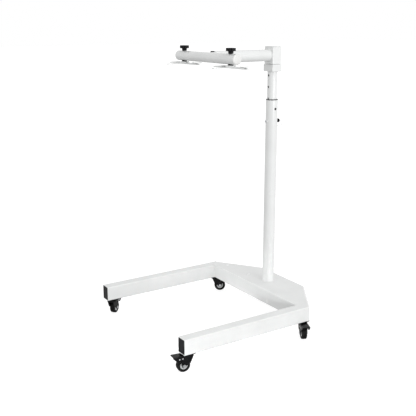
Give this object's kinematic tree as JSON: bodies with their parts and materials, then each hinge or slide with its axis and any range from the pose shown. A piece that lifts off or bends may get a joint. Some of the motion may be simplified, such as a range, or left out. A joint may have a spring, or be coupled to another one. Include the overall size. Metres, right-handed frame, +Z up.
{
  "type": "examination lamp floor stand",
  "caption": "White mobile floor stand for an overhead panel lamp: U-shaped caster base, telescoping column, swivelling arm and a crossbar with clamped carrier plates.",
  "frame": {"origin": "on the floor, on the axis of the column", "axes": "+Z up along the column, -Y towards the open front of the base under the arm, +X towards the right-hand leg seen from behind the column"},
  "size_m": [0.7307, 0.7397, 1.1184],
  "materials": {
    "white_powder_coat": "gloss white powder coat",
    "black_plastic": "fine moulded texture",
    "white_plastic": "gloss moulded",
    "grey_hub_plastic": "satin moulded",
    "black_rubber": "matt",
    "black_enamel": "gloss black",
    "black_oxide": "oiled black oxide",
    "zinc_steel": "zinc plated",
    "machined_steel": "turned",
    "acetal": "natural acetal"
  },
  "bodies": {
    "base": {"leg_left": "white_powder_coat", "leg_right": "white_powder_coat", "front_cross_tube": "white_powder_coat", "deck_pan": "white_powder_coat", "column_spine": "white_powder_coat", "leg_cap_left": "black_plastic", "leg_cap_right": "black_plastic", "column_outer_tube": "white_powder_coat", "guide_bush": "black_plastic", "column_screws": "black_oxide", "column_bosses": "white_powder_coat", "plunger_spring": "zinc_steel", "caster_plates": "black_enamel", "caster_kingpins": "zinc_steel", "caster_screws": "black_oxide"},
    "plunger": {"plunger_pin": "zinc_steel", "plunger_knob": "black_plastic"},
    "ring": {"pull_ring": "zinc_steel"},
    "mast": {"mast_tube": "white_powder_coat", "mast_glide": "acetal", "collar_block": "white_powder_coat", "swivel_spindle": "machined_steel", "thrust_washer": "black_plastic", "swivel_nut": "zinc_steel"},
    "head": {"head_tube": "white_powder_coat", "head_core": "machined_steel", "head_bushes": "acetal", "head_top_cap": "black_plastic", "arm_tube": "white_powder_coat", "arm_end_sleeve": "white_powder_coat", "arm_lock_screw": "black_oxide"},
    "crossbar": {"crossbar_tube": "white_powder_coat", "crossbar_spigot": "machined_steel", "spigot_snap_ring": "zinc_steel", "crossbar_end_caps": "white_plastic", "carrier_saddles": "black_plastic"},
    "carrier_right": {"carrier_right": "white_powder_coat"},
    "carrier_left": {"carrier_left": "white_powder_coat"},
    "knob_right": {"clamp_knob_right": "black_plastic"},
    "knob_left": {"clamp_knob_left": "black_plastic"},
    "fork_front_right": {"caster_fork_front_right": "black_enamel", "caster_axle_front_right": "zinc_steel"},
    "wheel_front_right": {"caster_tread_front_right": "black_rubber", "caster_hub_front_right": "grey_hub_plastic"},
    "pedal_front_right": {"caster_pedal_front_right": "black_enamel"},
    "fork_front_left": {"caster_fork_front_left": "black_enamel", "caster_axle_front_left": "zinc_steel"},
    "wheel_front_left": {"caster_tread_front_left": "black_rubber", "caster_hub_front_left": "grey_hub_plastic"},
    "pedal_front_left": {"caster_pedal_front_left": "black_enamel"},
    "fork_rear_right": {"caster_fork_rear_right": "black_enamel", "caster_axle_rear_right": "zinc_steel"},
    "wheel_rear_right": {"caster_tread_rear_right": "black_rubber", "caster_hub_rear_right": "grey_hub_plastic"},
    "pedal_rear_right": {"caster_pedal_rear_right": "black_enamel"},
    "fork_rear_left": {"caster_fork_rear_left": "black_enamel", "caster_axle_rear_left": "zinc_steel"},
    "wheel_rear_left": {"caster_tread_rear_left": "black_rubber", "caster_hub_rear_left": "grey_hub_plastic"},
    "pedal_rear_left": {"caster_pedal_rear_left": "black_enamel"}
  },
  "joints": [
    {"name": "column_slide", "type": "slide", "parent": "base", "child": "mast", "axis": [0, 0, 1], "range_m": [-0.092, 0.46]},
    {"name": "plunger_lock", "type": "slide", "parent": "base", "child": "plunger", "axis": [0, -1, 0], "range_m": [0, 0.004], "deforming": ["plunger_spring"]},
    {"name": "ring_swing", "type": "hinge", "parent": "plunger", "child": "ring", "pos_m": [0, 0.0405, 0.816], "axis": [0.9659, 0.2588, 0], "range_deg": [-5, 60]},
    {"name": "head_swivel", "type": "hinge", "parent": "mast", "child": "head", "pos_m": [0, 0, 1.045], "axis": [0, 0, 1], "range_deg": [-90, 90]},
    {"name": "crossbar_roll", "type": "hinge", "parent": "head", "child": "crossbar", "pos_m": [0, -0.26, 1.079], "axis": [0, 1, 0], "range_deg": [-90, 90]},
    {"name": "carrier_right_swivel", "type": "hinge", "parent": "crossbar", "child": "carrier_right", "pos_m": [0.16, -0.315, 1.05], "axis": [0, 0, 1], "continuous": true},
    {"name": "knob_right_turn", "type": "hinge", "parent": "crossbar", "child": "knob_right", "pos_m": [0.16, -0.315, 1.108], "axis": [0, 0, 1], "continuous": true},
    {"name": "carrier_left_swivel", "type": "hinge", "parent": "crossbar", "child": "carrier_left", "pos_m": [-0.16, -0.315, 1.05], "axis": [0, 0, 1], "continuous": true},
    {"name": "knob_left_turn", "type": "hinge", "parent": "crossbar", "child": "knob_left", "pos_m": [-0.16, -0.315, 1.108], "axis": [0, 0, 1], "continuous": true},
    {"name": "swivel_front_right", "type": "hinge", "parent": "base", "child": "fork_front_right", "pos_m": [0.3095, -0.594, 0.065], "axis": [0, 0, 1], "continuous": true},
    {"name": "wheel_front_right_roll", "type": "hinge", "parent": "fork_front_right", "child": "wheel_front_right", "pos_m": [0.30603, -0.6137, 0.025], "axis": [0.9848, -0.1736, 0], "continuous": true},
    {"name": "brake_front_right", "type": "hinge", "parent": "fork_front_right", "child": "pedal_front_right", "pos_m": [0.30499, -0.61961, 0.0545], "axis": [0.9848, -0.1736, 0], "range_deg": [0, 12]},
    {"name": "swivel_front_left", "type": "hinge", "parent": "base", "child": "fork_front_left", "pos_m": [-0.3095, -0.594, 0.065], "axis": [0, 0, 1], "continuous": true},
    {"name": "wheel_front_left_roll", "type": "hinge", "parent": "fork_front_left", "child": "wheel_front_left", "pos_m": [-0.32126, -0.57782, 0.025], "axis": [-0.809, -0.5878, 0], "continuous": true},
    {"name": "brake_front_left", "type": "hinge", "parent": "fork_front_left", "child": "pedal_front_left", "pos_m": [-0.32478, -0.57297, 0.0545], "axis": [-0.809, -0.5878, 0], "range_deg": [0, 12]},
    {"name": "swivel_rear_right", "type": "hinge", "parent": "base", "child": "fork_rear_right", "pos_m": [0.3095, -0.066, 0.065], "axis": [0, 0, 1], "continuous": true},
    {"name": "wheel_rear_right_roll", "type": "hinge", "parent": "fork_rear_right", "child": "wheel_rear_right", "pos_m": [0.32763, -0.07445, 0.025], "axis": [0.4226, 0.9063, 0], "continuous": true},
    {"name": "brake_rear_right", "type": "hinge", "parent": "fork_rear_right", "child": "pedal_rear_right", "pos_m": [0.33306, -0.07699, 0.0545], "axis": [0.4226, 0.9063, 0], "range_deg": [0, 12]},
    {"name": "swivel_rear_left", "type": "hinge", "parent": "base", "child": "fork_rear_left", "pos_m": [-0.3095, -0.066, 0.065], "axis": [0, 0, 1], "continuous": true},
    {"name": "wheel_rear_left_roll", "type": "hinge", "parent": "fork_rear_left", "child": "wheel_rear_left", "pos_m": [-0.2995, -0.04868, 0.025], "axis": [-0.866, 0.5, 0], "continuous": true},
    {"name": "brake_rear_left", "type": "hinge", "parent": "fork_rear_left", "child": "pedal_rear_left", "pos_m": [-0.2965, -0.04348, 0.0545], "axis": [-0.866, 0.5, 0], "range_deg": [0, 12]}
  ]
}
